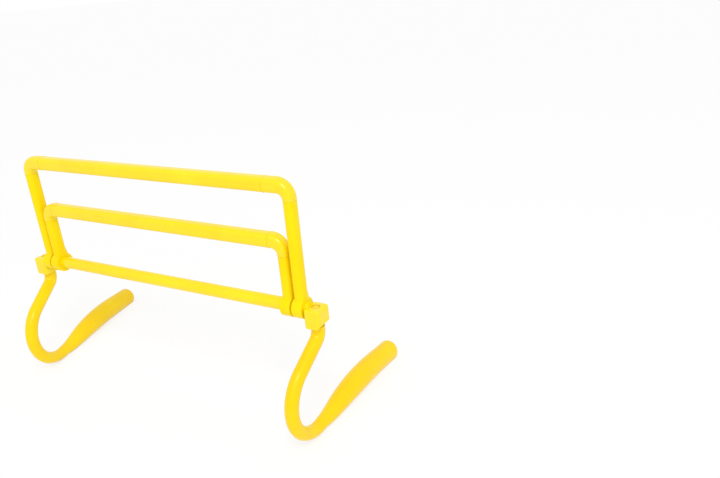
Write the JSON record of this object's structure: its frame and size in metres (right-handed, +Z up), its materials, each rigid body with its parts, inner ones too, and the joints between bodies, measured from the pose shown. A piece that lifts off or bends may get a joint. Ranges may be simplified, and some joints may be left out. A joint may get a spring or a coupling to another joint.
{
  "type": "speed hurdle",
  "caption": "Low folding speed hurdle: a base bar on two hook-shaped feet, with an outer and an inner U-frame that turn on the bar to set the jump height.",
  "frame": {"origin": "on the floor, under the middle of the part's box as it stands in the picture", "axes": "X along the base bar to the right seen from the front, Y back towards the tips of the feet, Z up"},
  "size_m": [0.5194, 0.2412, 0.3],
  "materials": {
    "yellow_plastic": "glossy bright yellow moulded plastic",
    "plated_steel": "zinc-plated steel screws and washers",
    "black_rubber": "matte black rubber"
  },
  "bodies": {
    "base": {"base_bar": "yellow_plastic", "left_foot_block": "yellow_plastic", "right_foot_block": "yellow_plastic", "left_screw_cap": "yellow_plastic", "right_screw_cap": "yellow_plastic"},
    "outer_frame": {"outer_top_tube": "yellow_plastic", "outer_left_elbow": "yellow_plastic", "outer_left_arm": "yellow_plastic", "outer_left_friction_ring": "black_rubber", "outer_right_elbow": "yellow_plastic", "outer_right_arm": "yellow_plastic", "outer_right_friction_ring": "black_rubber"},
    "inner_frame": {"inner_top_tube": "yellow_plastic", "inner_left_elbow": "yellow_plastic", "inner_left_arm": "yellow_plastic", "inner_left_friction_ring": "black_rubber", "inner_right_elbow": "yellow_plastic", "inner_right_arm": "yellow_plastic", "inner_right_friction_ring": "black_rubber"},
    "left_foot": {"left_foot": "yellow_plastic", "left_foot_screw": "plated_steel", "left_foot_washer": "plated_steel"},
    "right_foot": {"right_foot": "yellow_plastic", "right_foot_screw": "plated_steel", "right_foot_washer": "plated_steel"}
  },
  "joints": [
    {"name": "outer_frame_fold", "type": "hinge", "parent": "base", "child": "outer_frame", "pos_m": [0.01833, -0.04736, 0.15], "axis": [-1, 0, 0], "range_deg": [-90, 165]},
    {"name": "inner_frame_fold", "type": "hinge", "parent": "base", "child": "inner_frame", "pos_m": [0.01833, -0.04736, 0.15], "axis": [-1, 0, 0], "range_deg": [-90, 180]},
    {"name": "left_foot_swivel", "type": "hinge", "parent": "base", "child": "left_foot", "pos_m": [-0.20467, -0.04736, 0.138], "axis": [0, 0, 1], "range_deg": [-105, 5]},
    {"name": "right_foot_swivel", "type": "hinge", "parent": "base", "child": "right_foot", "pos_m": [0.24133, -0.04736, 0.138], "axis": [0, 0, -1], "range_deg": [-91, 18]}
  ]
}
